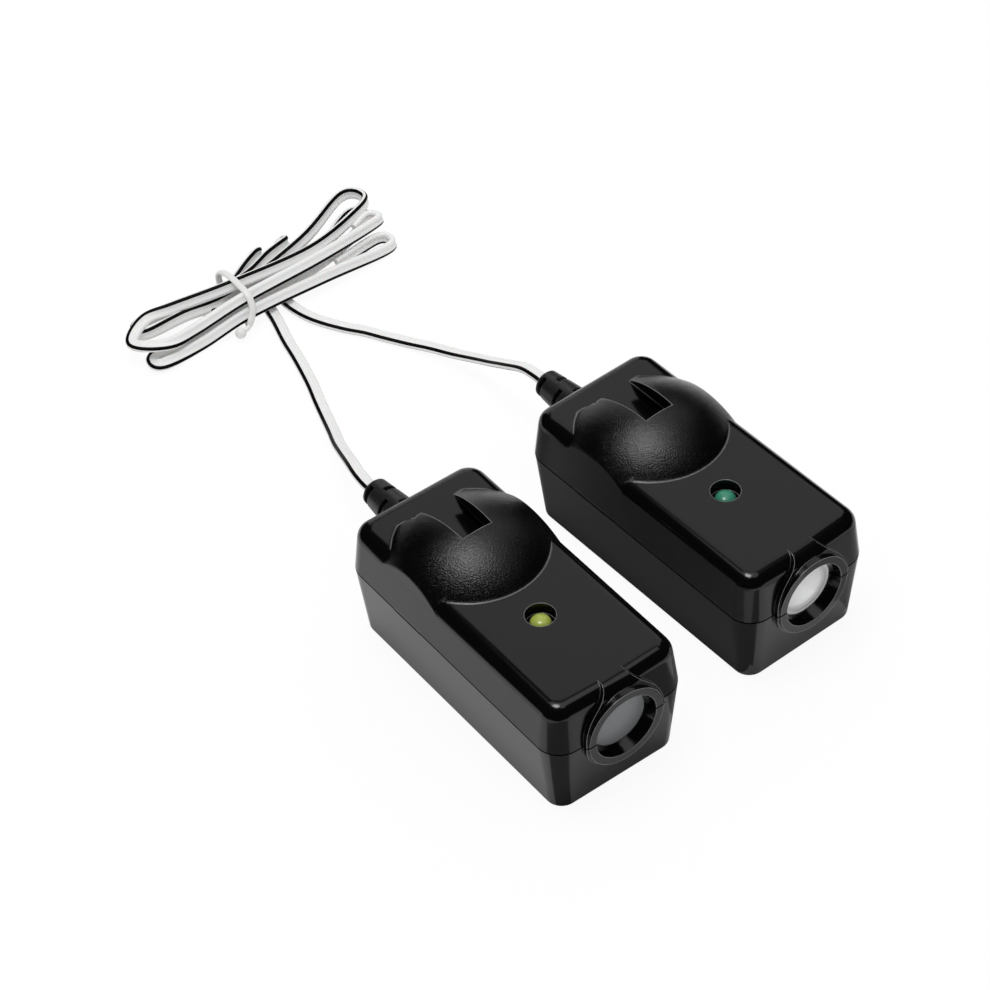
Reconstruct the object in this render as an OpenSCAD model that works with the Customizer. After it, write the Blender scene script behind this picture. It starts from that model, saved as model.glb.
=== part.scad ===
// Pair of gate safety photocells: a sender and a receiver in like housings,
// with their twin bell wire gathered in one tied hank.
// Millimetres. Origin at the centre of the sender's footprint, lens towards -Y, +Z up.

/* [Housing] */
// Width of a housing at its parting line
body_w = 38; // [36:0.5:42]
// Length of a housing at its parting line, lens face to cable face
body_l = 79.5; // [76:0.5:90]
// Height of the base shell, floor to parting line
base_h = 20; // [18:0.5:24]
// Height of the cover shell, parting line to deck
cover_h = 12.5; // [12:0.25:15]
// Moulded wall thickness
wall = 2; // [1.6:0.1:2.4]
// Radius of the upright corners at the parting line
corner_r = 6.1; // [5.5:0.1:8]
// Draft of each base wall from parting line to floor
base_taper = 2; // [0.5:0.1:2.2]
// Draft of each cover wall from parting line to deck
cover_taper = 1.1; // [0.5:0.1:1.3]
// Fillet radius along the deck's edge
deck_edge_r = 3.6; // [2:0.1:3.7]
// Radius of the base's bottom edge
foot_edge_r = 0.6; // [0.3:0.1:1]

/* [Mounting dome] */
// Centre of the dome behind the middle of the housing
dome_y = 15.1; // [12:0.1:17]
// Radius of the dome where it meets the deck
dome_base_r = 18.3; // [17:0.1:19]
// Height of the dome above the deck
dome_h = 7.5; // [6.5:0.1:8.5]
// Wall thickness of the dome
dome_wall = 2.2; // [1.8:0.1:2.6]
// Width of the slot's mouth at its front end
mouth_w = 8.2; // [7.5:0.1:9]
// Width of the slot's mouth at its open rear end
mouth_rear_w = 9.4; // [9:0.1:10]
// Width of the slot under its lips, for the head of a 1/4 inch bolt
undercut_w = 13.4; // [12.9:0.1:14]
// Height of the slot under its lips
undercut_h = 3.4; // [3:0.1:3.6]
// Front end of the slot behind the middle of the housing
slot_front_y = 12.2; // [11:0.1:13]
// Slope of the dome's cut rear end
rear_slope = 50; // [45:1:60]
// Height above the deck at which the rear cut meets the slot's mouth
rear_cut_h = 3.8; // [3.6:0.1:4.2]

/* [Lens barrel] */
// Outer radius of the barrel ring
ring_r = 10.4; // [10:0.1:11]
// How far the ring stands ahead of the front face
ring_proud = 1.45; // [1:0.05:2]
// Radius of the bore at the ring's front edge
bore_r = 8.45; // [8:0.05:8.8]
// Radius of the bore where it meets the lens
bore_seat_r = 7.2; // [6.8:0.1:7.4]
// Depth of the lens behind the ring's front edge
bore_depth = 3; // [2.5:0.1:3.5]
// Radius of the hood round the ring
hood_r = 11; // [10.8:0.05:11.6]
// Width of the hood where its flanks reach the deck
hood_top_w = 6.6; // [5:0.1:8]
// How far the hood stands ahead of the front face
hood_proud = 1.2; // [0.8:0.05:1.4]
// Inside radius of the barrel's tube
barrel_r = 8; // [7.8:0.1:8.2]
// Length of the barrel's tube behind the lens face
barrel_l = 9.8; // [9:0.2:10.6]

/* [Lens] */
// Thickness of the lens flange
lens_t = 1.8; // [1.5:0.1:2.2]
// Radius of the receiver lens's front dome at its root
lens_dome_r = 6.6; // [6:0.1:7]
// Height of the receiver lens's front dome
lens_dome_h = 1.5; // [1:0.1:2]
// Running clearance between parts that slide together
fit_gap = 0.15; // [0.1:0.05:0.25]

/* [Indicator] */
// Diameter of the indicator's body
led_d = 5; // [4.8:0.1:5.2]
// Diameter of the indicator's flange
led_flange_d = 5.8; // [5.6:0.1:6]
// Height of the indicator from flange to tip
led_h = 8.6; // [8:0.1:9]
// Sideways place of the indicator
led_x = -1; // [-2:0.1:2]
// Place of the indicator along the housing
led_y = -12; // [-14:0.1:-10]
// Height of the indicator's tip above the deck
led_proud = 0.2; // [0:0.1:0.8]
// Diameter of the indicator's well at the deck
well_d = 7.2; // [6.8:0.1:8]
// Depth of the well below the deck
well_depth = 3.2; // [2.8:0.1:4]

/* [Circuit board] */
// Clearance of the circuit board from each side wall
board_gap = 1.35; // [0.5:0.05:2.5]
// Length of the circuit board
board_l = 56; // [50:1:58]
// Thickness of the circuit board
board_t = 1.6; // [1:0.2:1.6]
// Height of the board's underside above the floor
board_z = 8.5; // [7:0.5:10]
// Place of the board's middle along the housing
board_y = 1; // [0:0.5:2]

/* [Cable boot] */
// Length of the boot outside the housing
boot_l = 14.9; // [13:0.1:17]
// Radius of the boot at the housing
boot_r = 5; // [4.6:0.1:5.4]
// Radius of the boot at its free end
boot_end_r = 3.55; // [3.2:0.05:3.8]
// Radius of the boot's neck in the housing wall
boot_neck_r = 4; // [3.6:0.1:4.4]
// Width of each flexing slot in the boot
boot_slot_w = 1.35; // [1:0.05:1.5]
// Spacing of the flexing slots along the boot
boot_pitch = 3.15; // [2.8:0.05:3.4]
// Arc that one flexing slot takes up
boot_slot_span = 160; // [120:5:166]

/* [Wire] */
// Width of the twin bell wire
cord_w = 3.4; // [3:0.1:3.6]
// Thickness of the twin bell wire
cord_t = 1.65; // [1.4:0.05:1.8]

/* [Pair] */
// Sideways place of the receiver from the sender
pair_x = 56.5; // [50:0.5:80]
// Place of the receiver along the sender's length
pair_y = 3.9; // [0:0.1:8]
// Turn of the receiver
pair_turn = 2.06; // [0:0.01:3]

/* [Hidden] */
$fn = 48;
// One overrun for every cut
over = 0.5;

// Places that follow from the housing
deck_z = base_h + cover_h;
post_x = body_w / 2 - corner_r;
post_y = body_l / 2 - corner_r;
front_y = -body_l / 2;
rear_y = body_l / 2;
ring_y = front_y - ring_proud;
lens_y = ring_y + bore_depth;
barrel_end_y = lens_y + barrel_l;
dome_r = (pow(dome_base_r, 2) + pow(dome_h, 2)) / (2 * dome_h);
dome_z = deck_z + dome_h - dome_r;
slot_floor_z = deck_z;
rear_cut_y = dome_y + sqrt(pow(dome_r, 2) - pow(deck_z + rear_cut_h - dome_z, 2)
    - pow(mouth_rear_w / 2, 2));
hull_fn = 32;
edge_steps = 6;

// The cover's side runs straight from the parting line to where the deck's fillet starts
fillet_from = 5;
fillet_z = deck_z - deck_edge_r * (1 - sin(fillet_from));
fillet_inset = cover_taper + deck_edge_r * (1 - cos(fillet_from));
function cover_inset(z) = fillet_inset * (z - base_h) / (fillet_z - base_h);

// Quarter round of an edge profile, as points in radius and height
function edge_arc(r, z, rad, from, to) =
    [for (i = [0:edge_steps]) let (a = from + (to - from) * i / edge_steps)
        [r + rad * cos(a), z + rad * sin(a)]];

// Outlines of one corner post of each shell, in radius and height
foot_r = corner_r - base_taper;
function cover_profile() = concat([[0, base_h], [corner_r, base_h]],
    edge_arc(corner_r - cover_taper - deck_edge_r, deck_z - deck_edge_r, deck_edge_r,
        fillet_from, 90), [[0, deck_z]]);
function base_profile() = concat([[0, 0]],
    edge_arc(foot_r - foot_edge_r, foot_edge_r, foot_edge_r, 270, 360),
    [[corner_r, base_h], [0, base_h]]);

// Spline through key points p, with n rings for each stretch
function pick(p, i) = p[max(0, min(len(p) - 1, i))];
function spline_at(a, b, c, d, t) =
    0.5 * ((2 * b) + (c - a) * t + (2 * a - 5 * b + 4 * c - d) * t * t
    + (3 * b - a - 3 * c + d) * t * t * t);
function spline(p, n) = [
    for (i = [0:len(p) - 2], k = [0:n - 1])
        spline_at(pick(p, i - 1), p[i], p[i + 1], pick(p, i + 2), k / n),
    p[len(p) - 1]];

// Frame of a flat wire at ring i of path q, whose fourth value is its roll
function place(v) = [v[0], v[1], v[2]];
function unit(v) = v / norm(v);
function heading(q, i) = unit(place(pick(q, i + 1)) - place(pick(q, i - 1)));
function level(t) = unit(cross([0, 0, 1], t));
function wide(q, i) = let (t = heading(q, i), s = level(t), u = cross(t, s))
    cos(q[i][3]) * s + sin(q[i][3]) * u;
function thick(q, i) = cross(heading(q, i), wide(q, i));
function ring(q, i, outline) =
    [for (o = outline) place(q[i]) + o[0] * wide(q, i) + o[1] * thick(q, i)];

// Triangles that close a tube of rings with m points each
function tube_faces(rings, m) = concat(
    [for (i = [0:rings - 2], k = [0:m - 1]) let (a = i * m, b = a + m, n = (k + 1) % m)
        each [[a + k, b + k, b + n], [a + k, b + n, a + n]]],
    [for (k = [1:m - 2]) [0, k, k + 1]],
    [for (k = [1:m - 2]) let (e = (rings - 1) * m) [e, e + k + 1, e + k]]);

// Sections of the twin wire in shares of its width and thickness
lead_shares = [[0.5, -0.2], [0.5, 0.2], [0.3, 0.5], [-0.3, 0.5],
    [-0.5, 0.2], [-0.5, -0.2], [-0.3, -0.5], [0.3, -0.5]];
hank_shares = [[0.5, 0], [0.28, 0.5], [-0.28, 0.5], [-0.5, 0], [-0.28, -0.5], [0.28, -0.5]];
lead_outline = [for (s = lead_shares) [s[0] * cord_w, s[1] * cord_t]];
hank_outline = [for (s = hank_shares) [s[0] * cord_w, s[1] * cord_t]];

// Routes of the free leads: place and roll, chosen by hand. Their first points follow the
// boots, less and less down to the floor.
follow_n = 7;
boot_end = [0, rear_y + boot_l, base_h];
pair_start = [pair_x - sin(pair_turn) * boot_end[1], pair_y + cos(pair_turn) * boot_end[1], base_h];
function fitted(route, start) = let (off = start - place(route[0]))
    [for (i = [0:len(route) - 1]) let (share = max(0, 1 - i / follow_n))
        concat(place(route[i]) + share * off, route[i][3])];
sender_route = [
    [0, 54.65, 20, 0], [0, 58, 20, 0], [0.8, 62.5, 19.3, 0], [2.7, 68.2, 17.2, 0],
    [5.7, 76, 12.9, 0], [9.1, 84, 8, 0], [12.8, 92, 3.8, 0], [15.6, 99, 1.5, 0],
    [18, 106, 0.9, 0], [20.4, 113, 0.9, 0], [23, 122.5, 0.9, 0], [24.7, 130, 0.9, 0],
    [27, 138, 0.9, 0], [28.4, 144, 0.9, 0], [29.8, 150, 0.9, 0], [31, 155.4, 0.9, 0],
    [32, 159.4, 1.2, 20], [33.6, 162.6, 2, 55], [36, 164, 3.2, 85], [37.2, 162.6, 4.2, 95],
    [35.4, 160.8, 4.8, 105], [31, 158.4, 5.1, 118], [25.5, 156.5, 5.2, 120]];
receiver_route = [
    [54.54, 58.51, 20, 0], [54.42, 61.9, 20, 0], [54.4, 67, 18.8, 0], [54.4, 74, 15, 0],
    [54.6, 81, 10.9, 0], [54.6, 88, 7.2, 0], [53.7, 96, 3.7, 0], [51.6, 104, 1.6, 0],
    [48.6, 110, 0.9, 0], [45.3, 115.6, 0.9, 0], [42.6, 120.4, 0.9, 0], [39.4, 125, 0.9, 0],
    [36, 131.2, 0.9, 0], [34, 137, 0.9, 0], [33.4, 143.4, 0.9, 0], [34.8, 150, 0.9, 0],
    [37, 155.4, 0.9, 0], [39.4, 159.4, 1.4, 20], [41.6, 162, 2.4, 55], [44, 163, 3.9, 85],
    [45, 161.4, 4.9, 95], [42, 159.4, 5.3, 110], [37, 157, 5.3, 118], [31, 154.8, 5, 120],
    [25.5, 153.7, 4.9, 120]];
lead_rings = 2;

// The hank: runs lean on each other at its waist and fan out to its tips
waist_x = 21.5;
run_lean = 120;
hank_rings = 4;
// Places of each wire's runs across the waist, in winding order: across and height
sender_runs = [[156.5, 5.2], [148, 4.2], [145.3, 4.2], [142.5, 4.2]];
receiver_runs = [[153.7, 4.9], [150.9, 4.5], [150.6, 8.1], [144.3, 8.1]];
// Tips of each wire's loops: along, across, half width, height, midway places there and back
sender_tips = [
    [10.4, 152.4, 3.9, 2.2, 156.9, 148.1], [69.4, 157.4, 3.4, 1.9, 150, 147.2],
    [-7.2, 144.5, 2.1, 1.9, 145.7, 142.8], [68.4, 145.2, 2.6, 1.9, 142.2, 146.4]];
receiver_tips = [
    [14.6, 152.2, 1.5, 2.3, 153.5, 150.7], [70.8, 160.4, 4.1, 5.8, 154, 149.4],
    [-9.4, 150.2, 5.8, 5.8, 155.5, 144.5], [68.8, 151.4, 1.7, 5.6, 145.8, 150.6]];
// Where each wire's bare end lies inside its last loop
sender_end = [51, 145, 2.8, 300];
receiver_end = [61.5, 151.2, 5.2, 300];
// Runs stay propped up midway on the side where the leads pass beneath
prop_rise = [0, 1.8];
shoulder_share = 1.2;
run_mid_share = 0.5;
// Rolls of the runs, far to near: the stripe turns over at the second left tip
run_rolls = [run_lean, 180 - run_lean, run_lean, 360 - run_lean, 180 + run_lean];

// Key points from run a round a tip and up to run b
function tip_points(tip, a, b, roll_a, roll_b) =
    let (sx = tip[0] > waist_x ? 1 : -1,
        side = a[0] > b[0] ? 1 : -1,
        shoulder_x = tip[0] - sx * tip[2] * shoulder_share,
        mid_x = waist_x + (tip[0] - waist_x) * run_mid_share,
        y_in = tip[1] + side * tip[2],
        y_out = tip[1] - side * tip[2],
        z = tip[3],
        mid_z = z + prop_rise[sx > 0 ? 1 : 0],
        turn = (roll_b - roll_a) / 4)
    [[mid_x, tip[4], mid_z, roll_a],
        [shoulder_x, y_in, z, roll_a + turn],
        [tip[0], tip[1], z, roll_a + 2 * turn],
        [shoulder_x, y_out, z, roll_b - turn],
        [mid_x, tip[5], mid_z, roll_b]];

// Key points of one wire's hank: four runs joined at three tips, and a last loop with a bare end
function at_waist(x, run, roll) = [x, run[0], run[1], roll];
function all_but_last(p) = [for (i = [0:len(p) - 2]) p[i]];
function hank_points(runs, tips, end) = concat(
    [at_waist(waist_x + lead_join, runs[0], run_rolls[0])],
    [for (i = [0:2]) each concat([at_waist(waist_x, runs[i], run_rolls[i])],
        tip_points(tips[i], runs[i], runs[i + 1], run_rolls[i], run_rolls[i + 1]))],
    [at_waist(waist_x, runs[3], run_rolls[3])],
    all_but_last(tip_points(tips[3], runs[3], [end[1], 0], run_rolls[3], run_rolls[4])),
    [end]);
lead_join = 4;

// Least gap of a wound wire to itself, from each corner of a ring to the lines between rings
function nearest(p, a, b) = let (s = b - a, t = max(0, min(1, ((p - a) * s) / (s * s)))) a + t * s;
skip_rings = 8;
function ring_gap(ps, as, bs) = min([for (p = ps, k = [0:len(as) - 1])
    norm(nearest(p, as[k], bs[k]) - p)]);
function own_gap(q) =
    let (r = [for (i = [0:len(q) - 1]) ring(q, i, hank_outline)])
    min([for (i = [0:len(q) - 1], j = [0:len(q) - 2])
        if (abs(i - j) > skip_rings && norm(place(q[i]) - place(q[j])) < 2 * cord_w)
            ring_gap(r[i], r[j], r[j + 1])]);

// Rounded rectangle, exact
module rounded_plate(w, l, r, t) {
    linear_extrude(t) {
        square([w - 2 * r, l], center = true);
        square([w, l - 2 * r], center = true);
        for (x = [-1, 1], y = [-1, 1]) translate([x * (w / 2 - r), y * (l / 2 - r)]) circle(r);
    }
}

// Solid between four like corner posts, each a turned profile
module posts(profile) {
    hull() for (x = [-1, 1], y = [-1, 1]) translate([x * post_x, y * post_y])
        rotate_extrude($fn = hull_fn) polygon(profile);
}

// A drafted block that follows the cover's sides between two heights
module cover_draft(z0, z1, inset) {
    posts([[0, z0], [corner_r - inset - cover_inset(z0), z0],
        [corner_r - inset - cover_inset(z1), z1], [0, z1]]);
}

// Cylinder along Y from y0 to y1 at the barrel's height
module along_y(y0, y1, r0, r1) {
    translate([0, y0, base_h]) rotate([-90, 0, 0]) cylinder(h = y1 - y0, r1 = r0, r2 = r1);
}

module at_receiver() {
    translate([pair_x, pair_y]) rotate([0, 0, pair_turn]) children();
}

// The dome: a ball cut flush with the housing's sides and sloped off behind
module dome(inset) {
    intersection() {
        translate([0, dome_y, dome_z]) sphere(r = dome_r - inset, $fn = 96);
        cover_draft(base_h + wall, deck_z + dome_h + over, inset);
        translate([0, rear_cut_y, deck_z + rear_cut_h]) rotate([-rear_slope, 0, 0])
            translate([-body_w / 2, -body_l, -body_l - inset]) cube([body_w, 2 * body_l, body_l]);
    }
}

// Slot in the dome: a mouth over a wider channel for the bolt head
module bolt_slot() {
    slot_l = rear_y - slot_front_y + over;
    translate([-undercut_w / 2, slot_front_y, slot_floor_z]) cube([undercut_w, slot_l, undercut_h]);
    translate([0, 0, slot_floor_z]) linear_extrude(dome_h + over)
        polygon([[-mouth_w / 2, slot_front_y], [mouth_w / 2, slot_front_y],
            [mouth_rear_w / 2, rear_cut_y], [mouth_rear_w / 2, rear_y],
            [-mouth_rear_w / 2, rear_y], [-mouth_rear_w / 2, rear_cut_y]]);
}

// Everything that the lens and its holder need bored out of the two shells
module barrel_bore() {
    along_y(ring_y - over, ring_y, bore_r, bore_r);
    along_y(ring_y, lens_y, bore_r, bore_seat_r);
    along_y(lens_y, barrel_end_y + over, barrel_r, barrel_r);
}

// Hole for the boot's neck, and room for its inner flange
flange_t = 1.6;
flange_step = 1.4;
flange_r = boot_neck_r + flange_step;
module boot_hole() {
    along_y(rear_y - wall - over, rear_y + over, boot_neck_r, boot_neck_r);
    along_y(rear_y - wall - flange_t - 2 * fit_gap, rear_y - wall, flange_r + fit_gap, flange_r + fit_gap);
}

seam_lip_h = 1.5;
seam_lip_t = 0.9;
board_w = body_w - 2 * (wall + base_taper * (1 - board_z / base_h) + board_gap);
boss_d = 5.6;
boss_x = board_w / 2 - boss_d / 2;
boss_y = board_l / 2 - boss_d / 2;
screw_d = 2.2;
screw_head_d = 4.2;
screw_head_h = 1.5;
screw_l = 6;
pilot_d = screw_d;
well_floor_t = 1.2;
well_wall = 1.3;

// Upper shell: deck, dome with its slot, indicator well and half of the barrel
module cover_shell() {
    difference() {
        union() {
            difference() {
                posts(cover_profile());
                cover_draft(base_h - over, deck_z - wall, wall);
            }
            difference() {
                dome(0);
                translate([0, 0, -over]) dome(dome_wall);
            }
            // Walls that carry the slot's floor
            intersection() {
                dome(0);
                translate([-undercut_w / 2 - dome_wall, slot_front_y - dome_wall, deck_z - wall])
                    cube([undercut_w + 2 * dome_wall, rear_y - slot_front_y, dome_h + wall]);
            }
            intersection() {
                union() {
                    along_y(ring_y, barrel_end_y, ring_r, ring_r);
                    along_y(rear_y - 2 * wall - flange_t, rear_y - wall / 2,
                        flange_r + wall, flange_r + wall);
                }
                translate([-body_w / 2, -body_l, base_h]) cube([body_w, 2 * body_l, cover_h - wall / 2]);
            }
            hood() posts(cover_profile());
            translate([led_x, led_y, deck_z - well_depth - well_floor_t])
                cylinder(h = well_depth + well_floor_t - wall / 2, d = well_d + 2 * well_wall);
        }
        bolt_slot();
        barrel_bore();
        boot_hole();
        translate([led_x, led_y, deck_z - well_depth]) cylinder(h = well_depth + over, d = well_d);
        translate([led_x, led_y, base_h]) cylinder(h = cover_h, d = led_d + 2 * fit_gap);
    }
}

// Hood over the ring: an arch whose flanks run straight up to the deck, cut from a shell's
// outer form moved forward, so that it rolls over and leans back as the shell does
module hood() {
    rise = deck_z - base_h;
    reach = norm([hood_top_w / 2, rise]);
    touch = atan2(rise, hood_top_w / 2) - acos(min(1, hood_r / reach));
    flank = hood_r * [cos(touch), sin(touch)];
    back_y = front_y + deck_edge_r + wall;
    intersection() {
        translate([0, -hood_proud]) children();
        translate([0, back_y, base_h]) rotate([90, 0, 0])
            linear_extrude(back_y - front_y + hood_proud + over) {
                circle(hood_r);
                polygon([[-hood_top_w / 2, rise], [hood_top_w / 2, rise], flank, [-flank[0], flank[1]]]);
            }
    }
}

// Lower shell: floor, walls, seam lip, board bosses and the other half of the barrel
module base_shell() {
    difference() {
        union() {
            difference() {
                posts(base_profile());
                posts([[0, wall], [foot_r - wall, wall], [corner_r - wall, base_h + over], [0, base_h + over]]);
            }
            difference() {
                translate([0, 0, base_h - seam_lip_h]) rounded_plate(body_w - 2 * wall - 2 * fit_gap
                    - 2 * cover_inset(base_h + seam_lip_h), body_l - 2 * wall - 2 * fit_gap
                    - 2 * cover_inset(base_h + seam_lip_h), corner_r - wall, 2 * seam_lip_h);
                translate([0, 0, base_h - seam_lip_h - over]) rounded_plate(
                    body_w - 2 * wall - 2 * seam_lip_t, body_l - 2 * wall - 2 * seam_lip_t,
                    corner_r - wall, 2 * seam_lip_h + 2 * over);
                along_y(ring_y, barrel_end_y + over, ring_r + fit_gap, ring_r + fit_gap);
                along_y(0, rear_y, flange_r + wall + fit_gap, flange_r + wall + fit_gap);
            }
            intersection() {
                union() {
                    along_y(ring_y, barrel_end_y, ring_r, ring_r);
                    along_y(rear_y - 2 * wall - flange_t, rear_y - wall / 2,
                        flange_r + wall, flange_r + wall);
                }
                translate([-body_w / 2, -body_l, wall / 2]) cube([body_w, 2 * body_l, base_h - wall / 2]);
            }
            hood() posts(base_profile());
            for (x = [-1, 1], y = [-1, 1]) translate([x * boss_x, board_y + y * boss_y, wall / 2])
                cylinder(h = board_z - wall / 2, d = boss_d);
        }
        barrel_bore();
        boot_hole();
        for (x = [-1, 1], y = [-1, 1]) translate([x * boss_x, board_y + y * boss_y, wall])
            cylinder(h = board_z, d = pilot_d);
        translate([-body_w / 2, front_y - ring_proud - over, base_h])
            cube([body_w, ring_proud + wall + over, wall]);
    }
}

// Lens flange that seats on the barrel's shoulder
module lens_flange() {
    along_y(lens_y, lens_y + lens_t, barrel_r - fit_gap, barrel_r - fit_gap);
}

module ball_lens(root_r, rise, y, toward) {
    r = (root_r * root_r + rise * rise) / (2 * rise);
    intersection() {
        translate([0, y + toward * (rise - r), base_h]) sphere(r = r);
        along_y(toward > 0 ? y - over : y - rise - over, toward > 0 ? y + rise + over : y + over, root_r, root_r);
    }
}

// Tube behind the lens, closed but for the hole that holds the light source
holder_wall = 1.2;
source_d = 5;
source_y = barrel_end_y;
module lens_holder() {
    y0 = lens_y + lens_t;
    r = barrel_r - fit_gap;
    difference() {
        along_y(y0, source_y, r, r);
        along_y(y0 - over, source_y - holder_wall, r - holder_wall, r - holder_wall);
        along_y(y0, source_y + over, source_d / 2 + fit_gap, source_d / 2 + fit_gap);
    }
}

// Round-nosed light source or detector along Y, nose towards the lens
source_l = 8.6;
leg_d = 0.5;
leg_step = 2.54;
source_stand = 1.2;
source_rim_t = 1;
source_rear_y = source_y + source_stand;
module source() {
    nose_y = source_rear_y - source_l + source_d / 2;
    along_y(nose_y, source_rear_y, source_d / 2, source_d / 2);
    translate([0, nose_y, base_h]) sphere(d = source_d);
    along_y(source_rear_y - source_rim_t, source_rear_y, led_flange_d / 2, led_flange_d / 2);
    for (x = [-1, 1]) translate([x * leg_step / 2, source_rear_y, base_h]) {
        rotate([-90, 0, 0]) cylinder(h = leg_step, d = leg_d);
        translate([0, leg_step, 0]) sphere(d = leg_d);
        translate([0, leg_step, board_z + board_t - base_h]) cylinder(h = base_h - board_z - board_t, d = leg_d);
    }
}

module indicator() {
    tip_z = deck_z + led_proud;
    translate([led_x, led_y]) {
        translate([0, 0, tip_z - led_h]) cylinder(h = led_h - led_d / 2, d = led_d);
        translate([0, 0, tip_z - led_d / 2]) sphere(d = led_d);
        translate([0, 0, tip_z - led_h]) cylinder(h = 2 * leg_d, d = led_flange_d);
        for (x = [-1, 1]) translate([x * leg_step / 2, 0, board_z + board_t])
            cylinder(h = tip_z - led_h - board_z - board_t + leg_d, d = leg_d);
    }
}

module board() {
    difference() {
        translate([0, board_y, board_z]) rounded_plate(board_w, board_l, holder_wall, board_t);
        for (x = [-1, 1], y = [-1, 1]) translate([x * boss_x, board_y + y * boss_y, board_z - over])
            cylinder(h = board_t + 2 * over, d = screw_d + 2 * fit_gap);
    }
}

module board_screws() {
    for (x = [-1, 1], y = [-1, 1]) translate([x * boss_x, board_y + y * boss_y, board_z + board_t]) {
        cylinder(h = screw_head_h, d = screw_head_d);
        translate([0, 0, -screw_l]) cylinder(h = screw_l, d = pilot_d);
    }
}

// Small parts that stand on the board: places from its middle, in shares of its width and length
part_z = board_z + board_t;
chip_share = [0, -0.07];
resistor_share = [0.1, -0.125];
capacitor_share = [0.28, 0.215];
rectifier_share = [0.24, 0.035];
function on_board(share) = [share[0] * board_w, board_y + share[1] * board_l];
chip_w = 4;
chip_l = 5;
chip_h = 1.5;
pin_n = 4;
pin_w = 0.4;
pin_out = 1;
module chip(share) {
    translate(concat(on_board(share), part_z)) {
        translate([-chip_w / 2, -chip_l / 2, pin_w / 2]) cube([chip_w, chip_l, chip_h]);
        for (i = [0:pin_n - 1]) translate([-chip_w / 2 - pin_out, (i + 0.5) * chip_l / pin_n - chip_l / 2 - pin_w / 2, 0])
            cube([chip_w + 2 * pin_out, pin_w, pin_w]);
    }
}

resistor_d = 2.3;
resistor_l = 6.3;
resistor_step = 3.6;
resistor_lead = 1;
module resistors(count) {
    at = on_board(resistor_share);
    for (i = [0:count - 1]) translate([at[0], at[1] + i * resistor_step, part_z + resistor_d / 2]) {
        translate([-resistor_l / 2, 0, 0]) rotate([0, 90, 0]) cylinder(h = resistor_l, d = resistor_d);
        for (s = [-1, 1]) {
            translate([s * (resistor_l / 2 + resistor_lead), 0, -resistor_d / 2])
                cylinder(h = resistor_d / 2, d = leg_d);
            translate([s * (resistor_l / 2 + resistor_lead), 0, 0]) sphere(d = leg_d);
            translate([s * resistor_l / 2, 0, 0]) rotate([0, s * 90, 0]) cylinder(h = resistor_lead, d = leg_d);
        }
    }
}

capacitor_d = 6.3;
capacitor_h = 8;
module capacitor() {
    translate(concat(on_board(capacitor_share), part_z)) cylinder(h = capacitor_h, d = capacitor_d);
}

rectifier_w = 6.5;
rectifier_h = 3;
module rectifier() {
    translate(concat(on_board(rectifier_share), part_z)) {
        translate([-rectifier_w / 2, -rectifier_w / 2, pin_w]) cube([rectifier_w, rectifier_w, rectifier_h]);
        for (sx = [-1, 1], sy = [-1, 1]) translate([sx * rectifier_w / 2 - pin_w, sy * rectifier_w / 4 - pin_w, 0])
            cube([2 * pin_w, 2 * pin_w, pin_w + rectifier_h / 2]);
    }
}

// Metal can over the detector's rear end
can_wall = 0.4;
can_r = led_flange_d / 2 + can_wall;
module shield_can() {
    y1 = source_rear_y + leg_step + leg_d;
    difference() {
        translate([-can_r - can_wall, source_y + 2 * fit_gap, part_z])
            cube([2 * can_r + 2 * can_wall, y1 + can_wall - source_y - 2 * fit_gap, base_h + can_r - part_z]);
        translate([-can_r, source_y + 2 * fit_gap - over, part_z - over])
            cube([2 * can_r, y1 - source_y - 2 * fit_gap + over, base_h + can_r - can_wall - part_z + over]);
    }
}

// Boot: drafted sleeve with staggered flexing slots, necked where the wall grips it
boot_turn = -12;
boot_slot_deep = 1.4;
boot_core_r = boot_end_r - boot_slot_deep;
boot_first = 1.75;
boot_end_round = 0.5;
slot_rows = 4;
module boot() {
    end_y = rear_y + boot_l;
    inner_y = rear_y - wall - flange_t;
    difference() {
        translate([0, 0, base_h]) rotate([-90, 0, 0]) rotate_extrude() polygon([
            [0, inner_y], [flange_r, inner_y], [flange_r, rear_y - wall - fit_gap],
            [boot_neck_r - fit_gap, rear_y - wall - fit_gap], [boot_neck_r - fit_gap, rear_y],
            [boot_r, rear_y + fit_gap], [boot_end_r, end_y - boot_end_round],
            [boot_end_r - boot_end_round, end_y], [0, end_y]]);
        for (i = [0:slot_rows - 1]) translate([0, end_y - boot_first - i * boot_pitch, base_h])
            rotate([-90, 0, 0]) rotate([0, 0, boot_turn + (i % 2) * 180 - boot_slot_span / 2 + 180])
            rotate_extrude(angle = boot_slot_span) translate([boot_core_r, -boot_slot_w / 2])
            square([boot_r, boot_slot_w]);
    }
}

// Two cores from the boot's inner face down to the board
core_d = 1.4;
module inner_wires() {
    y0 = rear_y - wall - flange_t;
    y1 = board_y + board_l / 2 - 2 * boss_d / 2;
    for (x = [-1, 1]) translate([x * core_d, 0, 0]) {
        translate([0, y1, base_h]) rotate([-90, 0, 0]) cylinder(h = y0 - y1, d = core_d);
        translate([0, y1, base_h]) sphere(d = core_d);
        translate([0, y1, part_z]) cylinder(h = base_h - part_z, d = core_d);
    }
}

module wire_tube(path, outline) {
    polyhedron([for (i = [0:len(path) - 1]) each ring(path, i, outline)],
        tube_faces(len(path), len(outline)), convexity = 6);
}

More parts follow.
